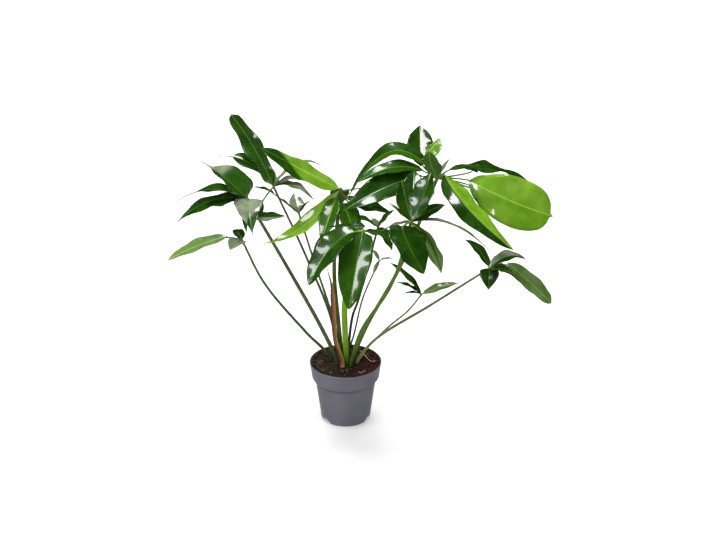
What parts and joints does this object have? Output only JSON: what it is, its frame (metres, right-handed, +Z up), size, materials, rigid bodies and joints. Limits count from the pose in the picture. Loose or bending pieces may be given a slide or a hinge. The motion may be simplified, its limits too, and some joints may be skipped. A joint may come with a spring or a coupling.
{
  "type": "potted green wonder philodendron",
  "caption": "Philodendron in a round grey grower pot: long arching leaf stalks, each with a crown of glossy, waved, pointed leaflets.",
  "frame": {"origin": "on the ground, in the middle of the pot's flat floor", "axes": "+Z up, +X to the right along the plant's widest spread, -Y towards the side that the picture shows"},
  "size_m": [0.955, 0.4812, 0.8005],
  "materials": {
    "pot_plastic": "satin",
    "potting_mix": "matte",
    "stem_bark": "matte",
    "sheath_skin": "satin",
    "petiole_olive": "satin",
    "petiole_bright_green": "satin",
    "leaf": "gloss"
  },
  "bodies": {
    "root": {"pot": "pot_plastic", "soil": "potting_mix", "stem": "stem_bark", "sheath": "sheath_skin", "frond_low_left_petiole": "petiole_olive", "frond_low_left_leaflets": "leaf", "frond_left_petiole": "petiole_olive", "frond_left_leaflets": "leaf", "frond_upper_left_petiole": "petiole_olive", "frond_upper_left_leaflets": "leaf", "frond_back_left_petiole": "petiole_olive", "frond_back_left_leaflets": "leaf", "frond_centre_petiole": "petiole_olive", "frond_centre_leaflets": "leaf", "frond_front_petiole": "petiole_bright_green", "frond_front_leaflets": "leaf", "frond_front_right_petiole": "petiole_olive", "frond_front_right_leaflets": "leaf", "frond_upper_right_petiole": "petiole_bright_green", "frond_upper_right_leaflets": "leaf", "frond_small_right_petiole": "petiole_olive", "frond_small_right_leaflets": "leaf", "frond_low_right_petiole": "petiole_olive", "frond_low_right_leaflets": "leaf", "frond_back_petiole": "petiole_olive", "frond_back_leaflets": "leaf", "frond_back_small_petiole": "petiole_olive", "frond_back_small_leaflets": "leaf"}
  },
  "joints": []
}
